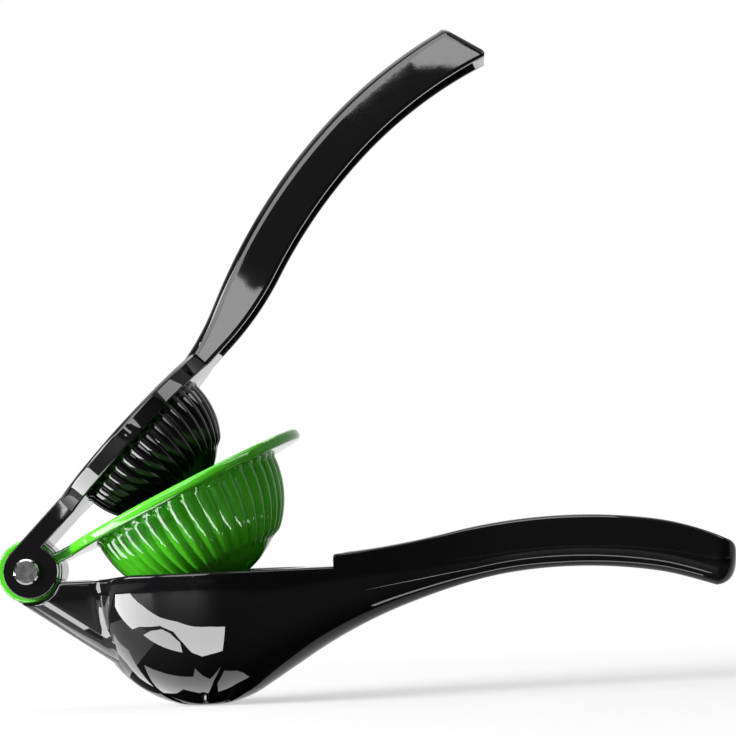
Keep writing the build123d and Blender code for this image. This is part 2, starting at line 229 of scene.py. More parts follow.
def make_floor():
    """A pale floor that keeps the object's shadow and runs into the white background."""
    material, tree, shader = new_material("floor")
    shader.inputs["Roughness"].default_value = FLOOR_ROUGHNESS
    seen = background_rays(tree)
    tree.links.new(blend_colours(tree, seen, FLOOR_BOUNCE, FLOOR_SEEN), shader.inputs["Base Color"])
    place = tree.nodes.new("ShaderNodeTexCoord").outputs["Object"]
    length = tree.nodes.new("ShaderNodeVectorMath")
    length.operation = "LENGTH"
    tree.links.new(place, length.inputs[0])
    fade = tree.nodes.new("ShaderNodeMapRange")
    fade.interpolation_type = "SMOOTHSTEP"
    fade.inputs["From Min"].default_value = FADE_START
    fade.inputs["From Max"].default_value = FADE_END
    fade.inputs["To Min"].default_value = FADE_LEAST
    tree.links.new(length.outputs["Value"], fade.inputs["Value"])
    shown = tree.nodes.new("ShaderNodeMath")
    shown.operation = "MULTIPLY"
    tree.links.new(fade.outputs["Result"], shown.inputs[0])
    tree.links.new(seen, shown.inputs[1])
    white = tree.nodes.new("ShaderNodeEmission")
    mix = tree.nodes.new("ShaderNodeMixShader")
    tree.links.new(shown.outputs["Value"], mix.inputs["Fac"])
    tree.links.new(shader.outputs["BSDF"], mix.inputs[1])
    tree.links.new(white.outputs["Emission"], mix.inputs[2])
    tree.links.new(mix.outputs["Shader"], tree.nodes["Material Output"].inputs["Surface"])
    make_stage_mesh("floor", square(FLOOR_HALF), material)


def make_key():
    data = bpy.data.lights.new("key", "AREA")
    data.shape = "RECTANGLE"
    data.size = KEY_WIDTH
    data.size_y = KEY_HEIGHT
    data.energy = KEY_POWER
    key = bpy.data.objects.new("key", data)
    scene.collection.objects.link(key)
    key.location = KEY_PLACE
    key.rotation_euler = (KEY_AIM - KEY_PLACE).to_track_quat("-Z", "Y").to_euler()


# --- Castings ------------------------------------------------------------------------------
# All three are drawn closed, in millimetres, with the pin axis along Y through the origin and X
# towards the handles, and are then opened about the pin and moved to it.
HINGES = {joint["name"]: joint for joint in frame["joints"]}
PIN_PLACE = Vector(HINGES["insert_hinge"]["pos_m"])
INSERT_OPEN = math.radians(25.2)
PRESS_OPEN = math.radians(45.4)
BOWL_X = 52.3

BEVEL_ANGLE = math.radians(40)
BEVEL_SEGMENTS = 6
SHARP_ANGLE = math.radians(50)
WELD = 0.001
EDGE_STEPS = 5
BEND_STEP = 15  # degrees
CREST_BEND_STEP = 5
PLATE_EDGE_STEPS = 6
PLATE_BASE_EDGE_STEPS = 4
HINGE_STEPS = 84
DISH_STEPS = 26
BALL_STEPS = 44
BORE_SIDES = 36
CLEARANCE_SIDES = 72

PIN_BORE_R = 2.55
LUG_CLEARANCE_R = 10.6
KNUCKLE_R = 9.6
KNUCKLE_IN = 6.9
KNUCKLE_OUT = 11.7
EAR_R = 8.3
EAR_CENTRE = (0.75, -0.75)
EAR_IN = 12.0
EAR_OUT = 17.0
EAR_EDGE_R = 0.9
KNUCKLE_EDGE_R = 0.8

FLANGE_R = 40.29
FLANGE_TOP = 1.4
FLANGE_BASE = -2.0
FLANGE_EDGE_R = 1.3
INSERT_BALL_R = 29.3
INSERT_RIB_H = 1.1
INSERT_CENTRE_Z = -2.2
INSERT_WALL = 2.6
INSERT_ROOT_STEP = 0.6
INSERT_ARM_OVERLAP = 1.0  # how far the arm runs into the ball
INSERT_RIBS = 40

PLATE_R = 34.0
PLATE_TOP = 7.6
PLATE_BASE = 1.7
PLATE_EDGE_R = 1.5
PLATE_BASE_EDGE_R = 0.6
DISH_EDGE_R = 1.0
ROOT_STEP = 0.5
DISH_MARGIN = 4.0  # from the arm's end to the dish
DOME_BALL_R = 23.3
DOME_WALL = 3.2
DOME_RIBS = 36
RIB_H = 0.9
RIB_END = 42.0
RIB_FADE = 9.0
RIB_COLUMNS = 14
RIB_ROUNDNESS = 1.9

HANDLE_HALF = 13.0
HANDLE_CORNER_R = 5.5
UPPER_CORNER_R = 2.8
UPPER_INNER_R = 1.2
HANDLE_WALL = 3.0
HANDLE_DEPTH = 13.5
LIP_EDGE_R = 0.9
FLAT_MARGIN = 0.3  # keeps a flat face's shading flat up to its rounded edge
DIP_START = 70.0
DIP_R = 79.7
DIP_TURN = math.radians(19.8)
RISE_RUN = 4.8
CROWN_R = 180.0
TAIL_R = 150.0
NECK_LIP_R = 98.0
HANDLE_ROOT_X = 78.0
WALL_CURVE = 1.5  # how the channel's floor curves up to its end walls
WALL_STEPS = 5
CHANNEL_START_X = 86.8
CREST_END_X = 208.6
LIP_END_X = 212.4
END_FAN_X = 178.0
END_EDGE_R = 1.6
CHANNEL_END_X = CREST_END_X - 4.0
LIP_HALVINGS = 40
HANDLE_STATIONS = 90
SEAT = 0.03  # how far a shell sits inside the face that it runs into

DRAIN_SLOTS = 8
SLOT_W = 2.8
SLOT_BELOW = 5.0
SLOT_END_STEPS = 10
SLOT_INNER = 4.0
SLOT_OUTER = 13.0
LOWER_SLOT_INNER = 8.5
LOWER_SLOT_OUTER = 18.0

BOWL_R = 35.0
BOWL_CENTRE_Z = -8.7
BOWL_WALL = 3.0
BOWL_FLAT_R = 6.0  # the bowl stands on a small flat
BOWL_TURNS = 48
BOWL_BOTTOM_Z = BOWL_CENTRE_Z - math.sqrt(BOWL_R**2 - BOWL_FLAT_R**2)
RIM_Z = -2.3
CHEEK_Z = -3.6
CHEEK_DIP_START = 20.0
CHEEK_DIP_END = 32.0
STEP_X = 93.6
STEP_H = 3.7
LIP_START_SLOPE = math.radians(4)
LIP_SLOPE = math.radians(12)
LIP_SAG_R = 257.0
LIP_CROWN_R = 173.0
LIP_TAIL_R = 162.0
LIP_DROOP_X = 190.0
LIP_DROOP_R = 142.0
FLANK_TAPER = math.radians(18)
FLANK_BLEND_R = 150.0
FLANK_CORNER_SHARE = 0.985
FLANK_L = 84.0
CORNER_SETTLE = 4.0
LEAST_SIDE = 1.1 * LIP_EDGE_R  # straight side kept above a section's corner
KEEL_SLOPE = math.radians(32)
KEEL_R = 150.0
KEEL_LIFT = 0.8
KEEL_LIFT_START = 115.0
KEEL_LIFT_RUN = 35.0
KEEL_LIFT_END = 212.0
KEEL_SETTLE_RUN = 20.0
LOWER_END_X = 216.3
LOWER_END_LIP_R = 2.0
LOWER_END_KEEL_R = 6.5
END_PLAN_R = 6.0
SIDE_STEPS = 4
CORNER_STEPS = 24
LOWER_STATION = 1.6
BOWL_STATIONS = 8
STEP_LEAD = 1.0  # from the flank's last even section to the step
STEP_GAP = 0.01  # from the rim's last section to the handle's first
STEP_TURNS = (0, 20, 40, 60, 75)  # the TURNS are degrees round a rounded edge
LOWER_END_TURNS = range(8, 90, 8)
UPPER_END_TURNS = (18, 36, 54, 72, 90)
CHEEK_TURNS = (0, 30, 60, 90)
BEVEL_PARTS = (0.1, 0.9)
LEAST_CHANNEL_R = 1.0
CAVITY_SECTORS = 10  # a plain ball's sectors, with as many columns each as a rib has
CAVITY_STEPS = 30
CHANNEL_STEPS = 12
LUG_R = 9.8
LUG_HALF = 6.6
LUG_EDGE_R = 0.6
ARM_SLOPE = math.radians(34.5)
ARM_EDGE_R = 4.0  # height of the rounding under its bevel
ARM_ROUND_FROM = 40
ARM_BEVEL = 1.7
ARM_BEVEL_IN = 0.55
ARM_TOE_X = 34.8
ARM_STATIONS = 44
ARM_SIDE_STEPS = 12
ARM_ROUND_STEPS = 10
CHEEK_EDGE_R = 0.7
FILLET_R = 3.5
KNUCKLE_CLEARANCE_R = 10.4
PIN_R = 2.5


def mesh_object(name, corners, faces):
    mesh = bpy.data.meshes.new(name)
    mesh.from_pydata(corners, [], faces)
    mesh.validate()
    obj = bpy.data.objects.new(name, mesh)
    scene.collection.objects.link(obj)
    for polygon in mesh.polygons:
        polygon.use_smooth = True
    return obj


def apply_modifiers(obj):
    """Replaces an object's mesh with its evaluated one."""
    graph = bpy.context.evaluated_depsgraph_get()
    mesh = bpy.data.meshes.new_from_object(obj.evaluated_get(graph))
    obj.modifiers.clear()
    obj.data = mesh
    return obj


def join(obj, others):
    """Puts the other objects' meshes into obj."""
    joined = bmesh.new()
    for part in (obj, *others):
        joined.from_mesh(part.data)
    joined.to_mesh(obj.data)
    joined.free()
    for part in others:
        bpy.data.objects.remove(part)
    return obj


def cut(obj, cutter):
    modifier = obj.modifiers.new("cut", "BOOLEAN")
    modifier.operation = "DIFFERENCE"
    modifier.solver = "EXACT"
    modifier.object = cutter
    apply_modifiers(obj)
    bpy.data.objects.remove(cutter)
    return obj


def round_edges(obj, radius):
    bevel = obj.modifiers.new("bevel", "BEVEL")
    bevel.limit_method = "ANGLE"
    bevel.angle_limit = BEVEL_ANGLE
    bevel.width = radius
    bevel.segments = BEVEL_SEGMENTS
    apply_modifiers(obj)
    return obj


def arc(centre, radius, first, last, steps):
    """Points on an arc between two angles in degrees."""
    points = []
    for step in range(steps + 1):
        turn = math.radians(first + (last - first) * step / steps)
        points.append((centre[0] + radius * math.cos(turn), centre[1] + radius * math.sin(turn)))
    return points


def circle(radius, sides):
    return arc((0, 0), radius, 0, 360 * (sides - 1) / sides, sides - 1)


def between(name, first, last):
    """The solid between two outlines with the same number of corners."""
    count = len(first)
    faces = [tuple(range(count))[::-1], tuple(range(count, 2 * count))]
    faces += [(i, (i + 1) % count, count + (i + 1) % count, count + i) for i in range(count)]
    return mesh_object(name, [*first, *last], faces)


def prism(name, outline, half):
    """An outline in the XZ plane, carried as far as half to each side."""
    return between(name, [(x, -half, z) for x, z in outline], [(x, half, z) for x, z in outline])


def bore(obj, radius, sides, half):
    """Cuts a round hole about the pin's axis, as far as half to each side."""
    return cut(obj, prism("bore", circle(radius, sides), half))


def lofted(name, rings):
    """Closed rings of points in a row, joined into a solid. The second half of a ring mirrors the
    first, backwards, so its ends are closed by strips from side to side."""
    around = len(rings[0])
    corners = [corner for ring in rings for corner in ring]
    last = (len(rings) - 1) * around
    faces = []
    for start in (0, last):
        for index in range(around // 2 - 1):
            across = start + around - 1 - index
            faces.append((start + index, start + index + 1, across - 1, across))
    for start in range(0, last, around):
        for index in range(around):
            after = (index + 1) % around
            faces.append((start + after, start + index, start + around + index, start + around + after))
    return outward(mesh_object(name, corners, faces))


def outward(obj):
    """Welds an object's corners and turns its faces outwards."""
    mesh = bmesh.new()
    mesh.from_mesh(obj.data)
    bmesh.ops.remove_doubles(mesh, verts=mesh.verts, dist=WELD)
    bmesh.ops.recalc_face_normals(mesh, faces=mesh.faces)
    mesh.to_mesh(obj.data)
    mesh.free()
    return obj


def rib_height(turn, ribs):
    """A rounded rib with a crease beside it, from 0 to 1 round a ball."""
    beside = abs((turn * ribs / (2 * math.pi)) % 1 - 0.5) * 2
    return 1 - beside**RIB_ROUNDNESS


def revolved(name, profile, ribs, centre_z):
    """A profile of (radius, height, rib) turned round the bowl's axis; ribs stand off its ball."""
    columns = ribs * RIB_COLUMNS
    corners = []
    for radius, height, rib in profile[1:-1]:
        reach = math.hypot(radius, height - centre_z)
        for column in range(columns):
            turn = 2 * math.pi * column / columns
            stand = rib * rib_height(turn, ribs)
            out = radius + stand * radius / reach
            z = height + stand * (height - centre_z) / reach
            corners.append((BOWL_X + out * math.cos(turn), out * math.sin(turn), z))
    faces = []
    for row in range(len(profile) - 3):
        for column in range(columns):
            after = (column + 1) % columns
            here = row * columns
            faces.append((here + column, here + columns + column, here + columns + after, here + after))
    for end, row, flip in ((profile[0], 0, False), (profile[-1], len(profile) - 3, True)):
        pole = len(corners)
        corners.append((BOWL_X, 0, end[1]))
        for column in range(columns):
            ring = (row * columns + column, row * columns + (column + 1) % columns)
            faces.append((pole, *(ring[::-1] if flip else ring)))
    return mesh_object(name, corners, faces)


def ribbed_ball(radius, centre_z, rib_h):
    """The outside of a bowl from its equator to its pole, with the ribs' height."""
    points = []
    for step in range(1, BALL_STEPS + 1):
        down = 90 * step / BALL_STEPS
        fade = min(max((90 - RIB_END - down) / RIB_FADE + 0.5, 0), 1)
        rib = rib_h * fade * fade * (3 - 2 * fade)
        turn = math.radians(-down)
        points.append((radius * math.cos(turn), centre_z + radius * math.sin(turn), rib))
    points[-1] = (0, centre_z - radius, 0)
    return points


def plain(points):
    return [(radius, height, 0) for radius, height in points]


def drain_cutter(inner, outer, bottom, ball_r):
    """Radial slots through a bowl's bottom, as one object of separate prisms."""
    slots = []
    half = SLOT_W / 2
    outline = arc((outer - half, 0), half, -90, 90, SLOT_END_STEPS)
    outline += arc((inner + half, 0), half, 90, 270, SLOT_END_STEPS)
    low, high = bottom - SLOT_BELOW, bottom + ball_r / 2
    for index in range(DRAIN_SLOTS):
        slot = between("slot", [(x, y, low) for x, y in outline], [(x, y, high) for x, y in outline])
        turn = Matrix.Rotation(2 * math.pi * index / DRAIN_SLOTS, 4, "Z")
        slot.data.transform(Matrix.Translation((BOWL_X, 0, 0)) @ turn)
        slots.append(slot)
    return join(slots[0], slots[1:])


def make_insert_bowl():
    inside_r = INSERT_BALL_R - INSERT_WALL
    edge_r = FLANGE_EDGE_R
    inside = arc((0, INSERT_CENTRE_Z), inside_r, -90, 0, DISH_STEPS)
    mouth = arc((inside_r + edge_r, FLANGE_TOP - edge_r), edge_r, 180, 90, EDGE_STEPS)
    top_edge = arc((FLANGE_R - edge_r, FLANGE_TOP - edge_r), edge_r, 90, 0, EDGE_STEPS)
    base_edge = arc((FLANGE_R - edge_r, FLANGE_BASE + edge_r), edge_r, 0, -90, EDGE_STEPS)
    root = [(INSERT_BALL_R + INSERT_RIB_H + INSERT_ROOT_STEP, FLANGE_BASE)]
    profile = plain(inside + mouth + top_edge + base_edge + root)
    profile += ribbed_ball(INSERT_BALL_R, INSERT_CENTRE_Z, INSERT_RIB_H)
    bowl = revolved("insert_bowl_casting", profile, INSERT_RIBS, INSERT_CENTRE_Z)
    cut(bowl, drain_cutter(SLOT_INNER, SLOT_OUTER, INSERT_CENTRE_Z - INSERT_BALL_R, INSERT_BALL_R))

    top = FLANGE_TOP - SEAT
    base = FLANGE_BASE + SEAT
    top_turn = math.degrees(math.asin(top / KNUCKLE_R))
    base_turn = math.degrees(math.asin(base / KNUCKLE_R))
    arm_end = BOWL_X - INSERT_BALL_R + INSERT_ARM_OVERLAP
    outline = [(arm_end, base), (arm_end, top)]
    outline += arc((0, 0), KNUCKLE_R, top_turn, 360 + base_turn, HINGE_STEPS)
    arm = prism("insert_arm", outline, KNUCKLE_OUT)
    bore(arm, LUG_CLEARANCE_R, CLEARANCE_SIDES, KNUCKLE_IN)
    bore(arm, PIN_BORE_R, BORE_SIDES, EAR_OUT)
    round_edges(arm, KNUCKLE_EDGE_R)
    return join(bowl, [arm])


DIP_END_X = DIP_START + DIP_R * math.sin(DIP_TURN)
DIP_END_Z = PLATE_TOP + DIP_R * (1 - math.cos(DIP_TURN))
RISE_END_X = DIP_END_X + RISE_RUN * math.cos(DIP_TURN)
CROWN_X = RISE_END_X + CROWN_R * math.sin(DIP_TURN)


def crest_at(x):
    """Height and slope of the press handle's top edge."""
    if x < DIP_START:
        return PLATE_TOP, 0
    if x < DIP_END_X:
        turn = math.asin((x - DIP_START) / DIP_R)
        return PLATE_TOP + DIP_R * (1 - math.cos(turn)), turn
    if x < RISE_END_X:
        return DIP_END_Z + (x - DIP_END_X) * math.tan(DIP_TURN), DIP_TURN
    crown_z = DIP_END_Z + RISE_RUN * math.sin(DIP_TURN) - CROWN_R * math.cos(DIP_TURN)
    radius = CROWN_R if x < CROWN_X else TAIL_R
    turn = math.asin((CROWN_X - x) / radius)
    return crown_z + CROWN_R - radius + radius * math.cos(turn), turn


def lip_at(x):
    """Height of the press handle's lip."""
    crown_top = crest_at(CROWN_X)[0]
    crown_r = CROWN_R - HANDLE_DEPTH
    reach = crown_r + NECK_LIP_R
    bend = math.acos((PLATE_BASE + NECK_LIP_R - crown_top + CROWN_R) / reach)
    bend_start = CROWN_X - reach * math.sin(bend)
    bend_end = CROWN_X - crown_r * math.sin(bend)
    if x < bend_start:
        return PLATE_BASE
    if x < bend_end:
        return PLATE_BASE + NECK_LIP_R - math.sqrt(NECK_LIP_R**2 - (x - bend_start) ** 2)
    radius = crown_r if x < CROWN_X else TAIL_R - HANDLE_DEPTH
    return crown_top - HANDLE_DEPTH - radius + math.sqrt(radius**2 - (x - CROWN_X) ** 2)


def lip_below(x):
    """The lip's place square to the crest at x."""
    height, slope = crest_at(x)
    near, far = 0.0, 2 * HANDLE_DEPTH
    for _ in range(LIP_HALVINGS):
        depth = (near + far) / 2
        if height - depth * math.cos(slope) > lip_at(x + depth * math.sin(slope)):
            near = depth
        else:
            far = depth
    return x + near * math.sin(slope)


def bend_points(centre, radius, first, last, step):
    """Points (across, down) on a section's rounded corner, between two angles in degrees."""
    points = []
    for turn in range(first, last + (1 if last > first else -1), step if last > first else -step):
        angle = math.radians(turn)
        points.append((centre[0] + radius * math.sin(angle), centre[1] - radius * math.cos(angle)))
    return points


def handle_section(depth, channel):
    """Points (across, down from the crest) round a handle's section; channel is 1 where it is
    open to its full depth and 0 where the handle is solid."""
    edge = LIP_EDGE_R
    outer_r = UPPER_CORNER_R
    inner_r = UPPER_INNER_R
    inner_half = HANDLE_HALF - HANDLE_WALL
    outside = [(HANDLE_HALF - outer_r - FLAT_MARGIN, 0)]
    outside += bend_points((HANDLE_HALF - outer_r, outer_r), outer_r, 0, 90, CREST_BEND_STEP)
    outside += [(HANDLE_HALF, outer_r + FLAT_MARGIN), (HANDLE_HALF, depth - edge - FLAT_MARGIN)]
    outside += bend_points((HANDLE_HALF - edge, depth - edge), edge, 90, 180, BEND_STEP)
    outside += bend_points((inner_half + edge, depth - edge), edge, 180, 270, BEND_STEP)
    inside = bend_points((inner_half - inner_r, HANDLE_WALL + inner_r), inner_r, 90, 0, BEND_STEP)
    inside = [(across, depth - channel * (depth - down)) for across, down in inside]
    half = outside + inside
    return half + [(-across, down) for across, down in half[::-1]]


def stations():
    """Places along the crest, closer together where the channel's end walls curve up."""
    body_end = CREST_END_X - END_EDGE_R
    length = body_end - HANDLE_ROOT_X
    places = {HANDLE_ROOT_X + length * step / HANDLE_STATIONS for step in range(HANDLE_STATIONS + 1)}
    for step in range(WALL_STEPS + 1):
        places.add(CHANNEL_START_X + WALL_CURVE * step / WALL_STEPS)
        places.add(CHANNEL_END_X - WALL_CURVE * step / WALL_STEPS)
    return sorted(places)


def ease(value):
    value = min(max(value, 0), 1)
    return value * value * (3 - 2 * value)


def make_upper_handle():
    rings = []
    fan = 2 * (LIP_END_X - CREST_END_X)
    for x in stations():
        foot = lip_below(x) + ease((x - END_FAN_X) / (CREST_END_X - END_FAN_X)) * fan
        crest = Vector((x, 0, crest_at(x)[0]))
        lip = Vector((foot, 0, lip_at(foot)))
        if x < CHANNEL_START_X:
            crest.z -= SEAT
            lip.z += SEAT
        depth = (lip - crest).length
        down = (lip - crest) / depth
        opened = ease((x - CHANNEL_START_X) / WALL_CURVE) * ease((CHANNEL_END_X - x) / WALL_CURVE)
        section = handle_section(depth, opened)
        rings.append([tuple(crest + down * drop + Vector((0, across, 0))) for across, drop in section])
    # the end is rounded on from the last section
    end_normal = Vector((-down.z, 0, down.x))
    for turn in UPPER_END_TURNS:
        inset = END_EDGE_R * (1 - math.cos(math.radians(turn)))
        reach = END_EDGE_R * math.sin(math.radians(turn))
        narrow = (HANDLE_HALF - inset) / HANDLE_HALF
        shallow = (depth / 2 - inset) / (depth / 2)
        ring = []
        for across, drop in section:
            inner_drop = depth / 2 + (drop - depth / 2) * shallow
            beside = Vector((0, across * narrow, 0))
            ring.append(tuple(crest + down * inner_drop + end_normal * reach + beside))
        rings.append(ring)
    return lofted("upper_handle", rings)


def bent(x, start, slope, radius):
    """Height at x on an arc that leaves start at a slope; a negative radius curves down."""
    centre_x = start[0] - radius * math.sin(slope)
    side = math.copysign(1, radius)
    return start[1] + radius * math.cos(slope) - side * math.sqrt(radius**2 - (x - centre_x) ** 2)


SAG_END_X = STEP_X + LIP_SAG_R * (math.sin(LIP_SLOPE) - math.sin(LIP_START_SLOPE))
LIP_TOP_X = SAG_END_X + LIP_CROWN_R * math.sin(LIP_SLOPE)


def lower_lip(x):
    """Height of the lower casting's top edge: its cheeks, its rim, then the handle's lip."""
    if x < STEP_X:
        risen = min(max((x - CHEEK_DIP_START) / (CHEEK_DIP_END - CHEEK_DIP_START), 0), 1)
        return CHEEK_Z + (RIM_Z - CHEEK_Z) * risen
    start = (STEP_X, RIM_Z + STEP_H)
    if x < SAG_END_X:
        return bent(x, start, LIP_START_SLOPE, LIP_SAG_R)
    sag_end = (SAG_END_X, bent(SAG_END_X, start, LIP_START_SLOPE, LIP_SAG_R))
    if x < LIP_TOP_X:
        return bent(x, sag_end, LIP_SLOPE, -LIP_CROWN_R)
    lip_top = (LIP_TOP_X, bent(LIP_TOP_X, sag_end, LIP_SLOPE, -LIP_CROWN_R))
    droop = max(x - LIP_DROOP_X, 0) ** 2 / (2 * LIP_DROOP_R)
    return bent(x, lip_top, 0, -LIP_TAIL_R) - droop


def lower_keel(x):
    """Lowest line of the bowl, its flank and the handle."""
    start_x = BOWL_X + BOWL_R * math.sin(KEEL_SLOPE)
    start_z = BOWL_CENTRE_Z - BOWL_R * math.cos(KEEL_SLOPE)
    bend_x = LIP_TOP_X - KEEL_R * math.sin(KEEL_SLOPE)
    lift = KEEL_LIFT * ease((x - KEEL_LIFT_START) / KEEL_LIFT_RUN)
    lift *= ease((KEEL_LIFT_END - x) / KEEL_SETTLE_RUN)
    if x < start_x:
        return BOWL_CENTRE_Z - math.sqrt(BOWL_R**2 - (x - BOWL_X) ** 2)
    if x < bend_x:
        return start_z + (x - start_x) * math.tan(KEEL_SLOPE)
    bend_start = (bend_x, start_z + (bend_x - start_x) * math.tan(KEEL_SLOPE))
    return bent(x, bend_start, KEEL_SLOPE, -KEEL_R) + lift


def lower_half(x):
    """Half width of the bowl, its flank and the handle."""
    start_x = BOWL_X + BOWL_R * math.sin(FLANK_TAPER)
    start_y = BOWL_R * math.cos(FLANK_TAPER)
    corner_x = start_x + (start_y - HANDLE_HALF) / math.tan(FLANK_TAPER)
    blend = FLANK_BLEND_R * math.tan(FLANK_TAPER / 2)
    bend_x = corner_x - blend * math.cos(FLANK_TAPER)
    if x < start_x:
        return math.sqrt(BOWL_R**2 - (x - BOWL_X) ** 2)
    if x < bend_x:
        return start_y - (x - start_x) * math.tan(FLANK_TAPER)
    if x < corner_x + blend:
        bend_start = (bend_x, start_y - (bend_x - start_x) * math.tan(FLANK_TAPER))
        return bent(x, bend_start, -FLANK_TAPER, FLANK_BLEND_R)
    return HANDLE_HALF


def lower_corner(x):
    """Corner radius of a section, from the bowl's to the handle's own."""
    start_x = BOWL_X + BOWL_R * math.sin(FLANK_TAPER)
    if x < start_x:
        return lower_half(x)
    along = min((x - start_x) / (BOWL_X + FLANK_L - start_x), 1)
    end_share = HANDLE_CORNER_R / HANDLE_HALF
    settled = min((x - start_x) / CORNER_SETTLE, 1)
    share = FLANK_CORNER_SHARE + along * (end_share - FLANK_CORNER_SHARE)
    return lower_half(x) * (1 + settled * (share - 1))


def half_section(half, keel, top, corner):
    """Points (across, height) from the middle of a section's top down one side to its keel."""
    edge = LIP_EDGE_R
    corner = min(corner, half, top - keel - LEAST_SIDE)
    shoulder = keel + corner
    points = [(0, top), (half - edge - FLAT_MARGIN, top)]
    lip_edge = bend_points((half - edge, edge), edge, 0, 90, BEND_STEP)
    points += [(across, top - down) for across, down in lip_edge]
    for step in range(1, SIDE_STEPS):
        points.append((half, top - edge + (shoulder - top + edge) * step / SIDE_STEPS))
    for step in range(CORNER_STEPS + 1):
        turn = math.pi / 2 * step / CORNER_STEPS
        points.append((half - corner + corner * math.cos(turn), shoulder - corner * math.sin(turn)))
    return points + [(0, keel)]


def lower_stations():
    """Places along the flank and handle: closer together at the step and round the end."""
    step_top = STEP_X + LIP_EDGE_R
    end_round = LOWER_END_X - LOWER_END_KEEL_R
    bowl_run = BOWL_R * math.sin(FLANK_TAPER)
    places = [BOWL_X + bowl_run * step / BOWL_STATIONS for step in range(BOWL_STATIONS)]
    for first, last in ((places[-1], STEP_X - STEP_LEAD), (step_top, end_round)):
        count = round((last - first) / LOWER_STATION)
        places += [first + (last - first) * step / count for step in range(count + 1)]
    places += [STEP_X - STEP_GAP]
    places += [STEP_X + LIP_EDGE_R * (1 - math.cos(math.radians(turn))) for turn in STEP_TURNS]
    places += [end_round + LOWER_END_KEEL_R * math.sin(math.radians(turn)) for turn in LOWER_END_TURNS]
    return sorted(set(places)) + [LOWER_END_X]


def lower_row(x):
    """One side of the flank's or handle's section at x, with the end's rounding."""
    half, keel, top = lower_half(x), lower_keel(x), lower_lip(x)
    if STEP_X <= x < STEP_X + LIP_EDGE_R:
        top -= LIP_EDGE_R - math.sqrt(max(LIP_EDGE_R**2 - (STEP_X + LIP_EDGE_R - x) ** 2, 0))
    past = x - (LOWER_END_X - LOWER_END_KEEL_R)
    if past > 0:
        keel = lower_keel(x - past) + LOWER_END_KEEL_R - math.sqrt(max(LOWER_END_KEEL_R**2 - past**2, 0))
    past = x - (LOWER_END_X - END_PLAN_R)
    if past > 0:
        half = HANDLE_HALF - END_PLAN_R + math.sqrt(max(END_PLAN_R**2 - past**2, 0))
    past = x - (LOWER_END_X - LOWER_END_LIP_R)
    if past > 0:
        top -= LOWER_END_LIP_R - math.sqrt(max(LOWER_END_LIP_R**2 - past**2, 0))
    return half_section(half, keel, top, lower_corner(x))


def lower_outside():
    """The lower casting's outside as one skin: the bowl's hinge half turned about its axis, then
    sections along the flank and handle."""
    places = lower_stations()
    side = [[(x, across, height) for across, height in lower_row(x)] for x in places]
    rows = side[::-1]
    for step in range(1, BOWL_TURNS):
        turn = math.radians(90 + 180 * step / BOWL_TURNS)
        top = lower_lip(BOWL_X + BOWL_R * math.cos(turn))
        profile = half_section(BOWL_R, BOWL_CENTRE_Z - BOWL_R, top, BOWL_R)
        profile[0] = (0, RIM_Z)
        rows.append([
            (BOWL_X + out * math.cos(turn), out * math.sin(turn), height) for out, height in profile
        ])
    rows += [[(x, -across, height) for x, across, height in row] for row in side]
    corners = [(x, y, max(z, BOWL_BOTTOM_Z)) for row in rows for x, y, z in row]
    count = len(rows[0])
    faces = []
    for start in range(0, len(corners) - count, count):
        for index in range(count - 1):
            here = start + index
            faces.append((here, here + 1, here + count + 1, here + count))
    # a fan from a middle corner to the first and last rows closes the handle's end
    last = len(corners) - count
    middle = len(corners)
    corners.append((corners[0][0], 0, (corners[0][2] + corners[count - 1][2]) / 2))
    faces += [(start + index, start + index + 1, middle) for start in (0, last) for index in range(count - 1)]
    return outward(mesh_object("lower_bowl_casting", corners, faces))


def bowl_cavity():
    """What is cut out of the bowl, flared where it rounds the rim's inner edge."""
    inside_r = BOWL_R - BOWL_WALL
    above = RIM_Z + 2 * STEP_H
    flare = arc((inside_r + LIP_EDGE_R, RIM_Z - LIP_EDGE_R), LIP_EDGE_R, 90, 180, EDGE_STEPS)
    ball = arc((0, BOWL_CENTRE_Z), inside_r, 0, -90, CAVITY_STEPS)
    profile = [(0, above), (inside_r + LIP_EDGE_R, above), *flare, *ball]
    return revolved("bowl_cavity", plain(profile), CAVITY_SECTORS, BOWL_CENTRE_Z)


def channel_cutter():
    rings = []
    first, last = STEP_X + HANDLE_WALL, LOWER_END_X - HANDLE_WALL
    count = round((last - first) / LOWER_STATION)
    for step in range(count + 1):
        x = first + (last - first) * step / count
        half = lower_half(x) - HANDLE_WALL
        floor = lower_keel(x) + HANDLE_WALL
        corner = max(lower_corner(x) - HANDLE_WALL, LEAST_CHANNEL_R)
        top = lower_lip(x)
        edge = LIP_EDGE_R
        points = [(half + edge, top + 2 * STEP_H)]
        flare = arc((0, 0), edge, 90, 0, EDGE_STEPS)
        points += [(half + edge - across, top - edge + up) for across, up in flare]
        for bend in range(CHANNEL_STEPS + 1):
            turn = math.pi / 2 * bend / CHANNEL_STEPS
            points.append((half - corner + corner * math.cos(turn), floor + corner - corner * math.sin(turn)))
        ring = points + [(-across, height) for across, height in points[::-1]]
        rings.append([(x, across, height) for across, height in ring])
    return lofted("channel_cutter", rings)


def fillet_flare(x, height):
    """How far a cheek's side stands out where it is rounded into the bowl."""
    ball_reach = BOWL_R + FILLET_R
    touch_r = math.sqrt(ball_reach**2 - (EAR_OUT + FILLET_R) ** 2)
    inside = touch_r - math.hypot(x - BOWL_X, height - BOWL_CENTRE_Z)
    inside = min(max(inside, 0), touch_r * FILLET_R / ball_reach)
    return FILLET_R - math.sqrt(FILLET_R**2 - inside**2)


